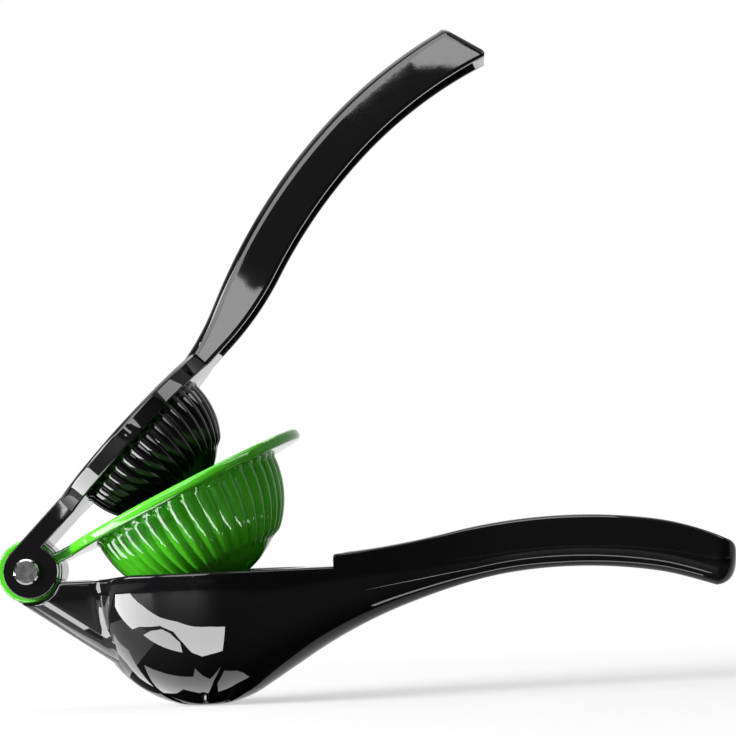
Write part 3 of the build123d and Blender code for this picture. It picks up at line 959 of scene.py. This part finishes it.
def cheek_section(height):
    """Points (across, height square to the underside) down a cheek's side, from its top edge over
    the bevel to the rounded underside."""
    edge = CHEEK_EDGE_R
    bevel_top = ARM_EDGE_R + ARM_BEVEL
    bevel_half = EAR_OUT - ARM_BEVEL_IN
    round_from = math.radians(ARM_ROUND_FROM)
    round_r = ARM_EDGE_R / (1 - math.sin(round_from))
    points = []
    for degrees in CHEEK_TURNS:
        turn = math.radians(degrees)
        points.append((EAR_OUT - edge + edge * math.sin(turn), height - edge + edge * math.cos(turn)))
    points += [(EAR_OUT, height - edge - (height - edge - bevel_top) * step / ARM_SIDE_STEPS)
               for step in range(1, ARM_SIDE_STEPS + 1)]
    points += [(EAR_OUT - ARM_BEVEL_IN * part, bevel_top - ARM_BEVEL * part) for part in BEVEL_PARTS]
    for step in range(ARM_ROUND_STEPS + 1):
        turn = round_from + (math.pi / 2 - round_from) * step / ARM_ROUND_STEPS
        inset = round_r * (math.cos(round_from) - math.cos(turn))
        points.append((bevel_half - inset, round_r * (1 - math.sin(turn))))
    return points


def make_cheeks():
    """The arm's two cheeks, cut clear of the insert's knuckles, with a fillet into the bowl."""
    slope_sin, slope_cos = math.sin(ARM_SLOPE), math.cos(ARM_SLOPE)
    top = CHEEK_Z - SEAT
    rings = []

    def add_ring(height, reach, inset):
        half = []
        for across, above in cheek_section(height):
            out, along = LUG_R - above, reach(above)
            x, z = along * slope_cos - out * slope_sin, -out * slope_cos - along * slope_sin
            half.append((x, across - inset + fillet_flare(x, z), z))
        rings.append(half + [(x, -y, z) for x, y, z in half[::-1]])

    for turn in CHEEK_TURNS:
        radius = KNUCKLE_CLEARANCE_R + CHEEK_EDGE_R * (1 - math.cos(math.radians(turn)))
        top_x = math.sqrt(radius**2 - top**2)
        add_ring(LUG_R + top_x * slope_sin + top * slope_cos,
                 lambda above, radius=radius: math.sqrt(max(radius**2 - (LUG_R - above) ** 2, 0)),
                 CHEEK_EDGE_R * (1 - math.sin(math.radians(turn))))
    first = top_x * slope_cos - top * slope_sin
    last = (ARM_TOE_X + LUG_R * slope_sin) / slope_cos
    for step in range(1, ARM_STATIONS + 1):
        along = first + (last - first) * step / ARM_STATIONS
        lip = lower_lip(along * slope_cos) - SEAT
        height = (lip + LUG_R * slope_cos + along * slope_sin) / slope_cos
        add_ring(height, lambda above, along=along: along, 0)
    return cut(lofted("cheeks", rings), bowl_cavity())


def make_tongue():
    """The arm's middle and the hinge lug at its end."""
    heel_turn = math.degrees(-math.pi / 2 - ARM_SLOPE)
    heel_z = -LUG_R * math.cos(ARM_SLOPE)
    toe_z = heel_z - (ARM_TOE_X + LUG_R * math.sin(ARM_SLOPE)) * math.tan(ARM_SLOPE)
    top = CHEEK_Z - SEAT
    outline = [(ARM_TOE_X, top), (ARM_TOE_X, toe_z + SEAT)]
    outline += arc((0, 0), LUG_R, heel_turn, math.degrees(math.asin(top / LUG_R)) - 360, HINGE_STEPS)
    tongue = outward(prism("tongue", outline, LUG_HALF))
    bore(tongue, PIN_R, BORE_SIDES, EAR_OUT)
    round_edges(tongue, LUG_EDGE_R)
    return cut(tongue, bowl_cavity())


def make_lower_bowl():
    casting = lower_outside()
    cut(casting, bowl_cavity())
    cut(casting, channel_cutter())
    cut(casting, drain_cutter(LOWER_SLOT_INNER, LOWER_SLOT_OUTER, BOWL_BOTTOM_Z, BOWL_R))
    return join(casting, [make_cheeks(), make_tongue()])


def make_press_handle():
    dish_r = DOME_BALL_R - DOME_WALL
    base_r = PLATE_BASE_EDGE_R
    inside = arc((0, PLATE_BASE), dish_r, -90, 0, DISH_STEPS)
    mouth = arc((dish_r + DISH_EDGE_R, PLATE_TOP - DISH_EDGE_R), DISH_EDGE_R, 180, 90, EDGE_STEPS)
    top_edge = arc((PLATE_R - PLATE_EDGE_R, PLATE_TOP - PLATE_EDGE_R), PLATE_EDGE_R, 90, 0, PLATE_EDGE_STEPS)
    base_edge = arc((PLATE_R - base_r, PLATE_BASE + base_r), base_r, 0, -90, PLATE_BASE_EDGE_STEPS)
    root = [(DOME_BALL_R + RIB_H + ROOT_STEP, PLATE_BASE)]
    profile = plain(inside + mouth + top_edge + base_edge + root)
    profile += ribbed_ball(DOME_BALL_R, PLATE_BASE, RIB_H)
    plate = revolved("press_handle_casting", profile, DOME_RIBS, PLATE_BASE)

    arm_end = BOWL_X - dish_r - DISH_MARGIN
    base_turn = math.degrees(math.asin((PLATE_BASE + SEAT - EAR_CENTRE[1]) / EAR_R))
    outline = [(arm_end, PLATE_BASE + SEAT), (arm_end, PLATE_TOP - SEAT)]
    outline += arc(EAR_CENTRE, EAR_R, 90, 360 + base_turn, HINGE_STEPS)
    arm = prism("press_arm", outline, EAR_OUT)
    bore(arm, LUG_CLEARANCE_R, CLEARANCE_SIDES, EAR_IN)
    bore(arm, PIN_BORE_R, BORE_SIDES, 2 * EAR_OUT)
    round_edges(arm, EAR_EDGE_R)
    return join(plate, [arm, make_upper_handle()])


def finish_casting(casting, opened, material, body, node):
    """Opens a casting about the pin, gives it its finish and puts it in its node's place."""
    turn = Matrix.Rotation(-opened, 4, "Y")
    casting.data.transform(Matrix.Translation(PIN_PLACE) @ turn @ Matrix.Scale(MM, 4))
    casting.data.set_sharp_from_angle(angle=SHARP_ANGLE)
    normals = casting.modifiers.new("normals", "WEIGHTED_NORMAL")
    normals.keep_sharp = True
    paint(casting, material)
    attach(casting, body)
    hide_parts(node)


# --- Reflectors ----------------------------------------------------------------------------
# Bright shapes and dark flags that only gloss sees. The REFLECTIONS hold pixels of the
# photograph: outlines of the reflections in it, read off and slightly adjusted, from which the
# corners of the shapes that make them are worked out. The other outlines are given in
# millimetres, and the soft boxes in metres.
PHOTO_PIXELS = 736
CARD_Z = 0.4
PANEL_Y = -2200.0
PANEL_SHIFT = Vector((-1.3, 0, 1.5)) * MM  # sets the mirrored corners back to where they were first tried
BOWL_REFLECTIONS = {
    "card_main": [(115, 606.7), (132.5, 629.2), (139.2, 626.7), (160, 625.8), (173.3, 631.7), (183.3, 643.3),
                  (191.7, 652.5), (201.7, 656.5), (211.7, 654), (222.5, 650.8), (225, 626.7), (210.8, 626.7),
                  (193.3, 626.7), (176.7, 621.7), (160, 617.5), (141.7, 605)],
    "card_lens": [(143.3, 635), (150.8, 630.8), (161.7, 629.2), (170, 633.3), (180, 642.5), (182.5, 652.5)],
    "card_low": [(144.2, 665), (160, 671.7), (176.7, 675.8), (193.3, 676.7), (195, 668.3), (201.7, 675),
                 (210, 679.2), (220.8, 666.7), (214.2, 680), (208.3, 693.3), (193.3, 691.7), (183.3, 689.2),
                 (176.7, 693.3), (163.3, 692.5), (157.5, 688.3), (150, 678.3)],
    "card_left": [(113.3, 633.3), (115.8, 650), (126.7, 663.3), (140, 678.3), (153.3, 686.7), (143.3, 675),
                  (133.3, 660), (128.3, 650), (120, 643.3)],
    "card_right": [(224.2, 670.8), (235, 670.8), (245, 676.7), (231.7, 686.7), (218.3, 691.7),
                   (217.5, 683.3)],
}
HANDLE_REFLECTIONS = {
    "panel_neck": [(262, 289), (256, 293), (250, 289), (246, 282), (238, 276)],
    "panel_tip": [(345, 118), (412, 63), (418, 69), (445, 67), (460, 69), (475, 66)],
}
ARM_REFLECTIONS = {
    "panel_arm": [(66, 486), (82, 473), (88, 476), (95, 478), (105, 474), (118, 463), (95, 495), (80, 498)],
    "panel_ear": [(55, 498), (58, 495), (72, 511), (65, 520), (64, 508)],
}
FAR_CORNERS = {  # these close an outline where its reflection fades or runs off the part
    "card_main": [(-1500, -420), (-1500, 120)],
    "panel_neck": [(-190, 320), (-300, 330), (-260, 240), (-215, 215), (-178, 196), (-124, 262)],
    "panel_tip": [(90, 469), (170, 500), (150, 620), (-9, 560), (-75, 440)],
}
FLANK_CARDS = {
    "card_line": [(36, -63), (40, -57), (56, -50), (80, -41), (94, -35), (97, -39), (94, -43), (80, -49),
                  (56, -58)],
    "card_underline": [(15, -16), (40, -18), (60, -11), (93, -14), (93, -9), (60, -6), (40, -12), (15, -12)],
}
CARD_STRENGTHS = {"card_main": 30, "card_lens": 26, "card_low": 5, "card_left": 6, "card_right": 4,
                  "card_line": 12, "card_underline": 8}
ARM_CARD = [(-170, -46), (-85, -46), (-85, 20), (-170, 20)]
ARM_CARD_Z = 0.35
ARM_CARD_STRENGTH = 1.6

HANDLE_PANEL_STRENGTH = 17.0
ARM_PANEL_STRENGTH = 34.0
CREST_PANEL = [(-75, 440), (-150, 400), (-330, 340), (-900, 320), (-2000, 900), (-2000, 3200), (500, 3200),
               (250, 800), (60, 520), (-9, 500)]
CREST_PANEL_STRENGTH = 13.0
PIN_PANEL = [(-430, -160), (-140, -160), (-140, 190), (-430, 190)]
PIN_PANEL_Y = -2250.0
PIN_PANEL_STRENGTH = 0.17

SOFT_BOX_AIM = Vector((0, 0, 80 * MM))
SOFT_BOXES = {
    "panel_over": {"direction": (-0.15, 0.25, 1.0), "distance": 2.6, "half_size": (1.5, 1.5),
                   "strength": 5.0},
    "panel_right": {"direction": (0.62, -0.45, 0.62), "distance": 2.0, "half_size": (0.5, 0.4),
                    "strength": 12.0},
}

FLAG_R = 3200 * MM
FLAG_TOP = 2400 * MM
FLAG_FROM = math.radians(-110)
FLAG_TO = math.radians(80)
FLAG_STEPS = 24
FLOOR_FLAG = [(-2500, -3000), (2500, -3000), (2500, -6), (-40, -6), (-52, -8), (-66, -8), (-80, 20),
              (-2500, 300)]
FLOOR_FLAG_Z = 0.3


def photo_ray(across, down):
    """The view's direction through a pixel of the photograph."""
    pixel = SENSOR / LENS / PHOTO_PIXELS
    middle = PHOTO_PIXELS / 2
    return (RIGHT * (across - middle) * pixel + UP * (middle - down) * pixel - BACK).normalized()


def mirrored_by_bowl(pixel):
    """The spot just over the floor that the bowl shows at a pixel."""
    ray = photo_ray(*pixel)
    centre = PIN_PLACE + Vector((BOWL_X, 0, BOWL_CENTRE_Z)) * MM
    nearest = (centre - EYE).dot(ray)
    half_chord = math.sqrt((BOWL_R * MM) ** 2 - (centre - EYE).length_squared + nearest**2)
    spot = EYE + ray * (nearest - half_chord)
    onward = ray.reflect((spot - centre).normalized())
    return tuple(spot + onward * ((CARD_Z * MM - spot.z) / onward.z))


def mirrored_by_side(pixel, half_width):
    """The spot on the front panels' plane that a flat side shows at a pixel."""
    ray = photo_ray(*pixel)
    spot = EYE + ray * ((-half_width * MM - EYE.y) / ray.y)
    onward = ray.reflect(Vector((0, 1, 0)))
    return tuple(spot + onward * ((PANEL_Y * MM - spot.y) / onward.y) + PANEL_SHIFT)


def on_floor(outline, height):
    return [(x * MM, y * MM, height * MM) for x, y in outline]


def in_front(outline, place):
    return [(x * MM, place * MM, z * MM) for x, z in outline]


def gloss_only(obj):
    obj.visible_camera = False
    obj.visible_diffuse = False
    obj.visible_shadow = False


def make_reflector(name, corners, strength, faces=None):
    gloss_only(make_stage_mesh(name, corners, glow(name + "_glow", strength), faces))


def make_floor_cards():
    for name, outline in BOWL_REFLECTIONS.items():
        corners = [mirrored_by_bowl(pixel) for pixel in outline]
        corners += on_floor(FAR_CORNERS.get(name, []), CARD_Z)
        make_reflector(name, corners, CARD_STRENGTHS[name])
    for name, outline in FLANK_CARDS.items():
        make_reflector(name, on_floor(outline, CARD_Z), CARD_STRENGTHS[name])
    make_reflector("card_arm", on_floor(ARM_CARD, ARM_CARD_Z), ARM_CARD_STRENGTH)


def make_front_panels():
    for outlines, half_width, strength in (
        (HANDLE_REFLECTIONS, HANDLE_HALF, HANDLE_PANEL_STRENGTH),
        (ARM_REFLECTIONS, EAR_OUT, ARM_PANEL_STRENGTH),
    ):
        for name, outline in outlines.items():
            corners = [mirrored_by_side(pixel, half_width) for pixel in outline]
            corners += in_front(FAR_CORNERS.get(name, []), PANEL_Y)
            make_reflector(name, corners, strength)
    make_reflector("panel_crest", in_front(CREST_PANEL, PANEL_Y), CREST_PANEL_STRENGTH)
    make_reflector("panel_pin", in_front(PIN_PANEL, PIN_PANEL_Y), PIN_PANEL_STRENGTH)


def make_soft_box(name, direction, distance, half_size, strength):
    """A bright panel that faces the object from a direction."""
    towards = Vector(direction).normalized()
    side = towards.cross(Vector((0, 0, 1))).normalized()
    rise = side.cross(towards)
    centre = SOFT_BOX_AIM + towards * distance
    corners = [tuple(centre + side * x * half_size[0] + rise * y * half_size[1]) for x, y, _ in square(1)]
    make_reflector(name, corners, strength)


def make_flags():
    """A dark curtain behind the camera and a dark cloth on the floor, which keep the enamel black."""
    corners = []
    for step in range(FLAG_STEPS + 1):
        turn = FLAG_FROM + (FLAG_TO - FLAG_FROM) * step / FLAG_STEPS
        place = (FLAG_R * math.sin(turn), -FLAG_R * math.cos(turn))
        corners += [(*place, 0), (*place, FLAG_TOP)]
    faces = [(2 * step, 2 * step + 2, 2 * step + 3, 2 * step + 1) for step in range(FLAG_STEPS)]
    make_reflector("flag", corners, 0, faces)
    make_reflector("floor_flag", on_floor(FLOOR_FLAG, FLOOR_FLAG_Z), 0)


make_camera()
BLACK = enamel("black_enamel", colour=(0.0035, 0.0035, 0.004), deep_colour=(0.005, 0.005, 0.0056),
               roughness=0.02, peel=0.15)
GREEN = enamel("green_enamel", colour=(0.085, 0.55, 0.022), deep_colour=(0.07, 0.49, 0.016),
               roughness=0.06, peel=0.2)
STEEL = steel("pin_steel", colour=(0.24, 0.24, 0.245), bright_colour=(0.38, 0.38, 0.385),
              smooth=0.06, rough=0.1)
for node_name, finish in {
    "lower_bowl": BLACK,
    "press_handle": BLACK,
    "insert_bowl": GREEN,
    "hinge_pin": STEEL,
    "pin_cap": STEEL,
}.items():
    paint(frame["nodes"][node_name], finish)
finish_casting(make_lower_bowl(), 0, BLACK, "lower", "lower_bowl")
finish_casting(make_insert_bowl(), INSERT_OPEN, GREEN, "insert", "insert_bowl")
finish_casting(make_press_handle(), PRESS_OPEN, BLACK, "press", "press_handle")
make_world()
make_floor()
make_floor_cards()
make_front_panels()
for box_name, box in SOFT_BOXES.items():
    make_soft_box(box_name, **box)
make_flags()
make_key()
scene.view_settings.view_transform = "Standard"
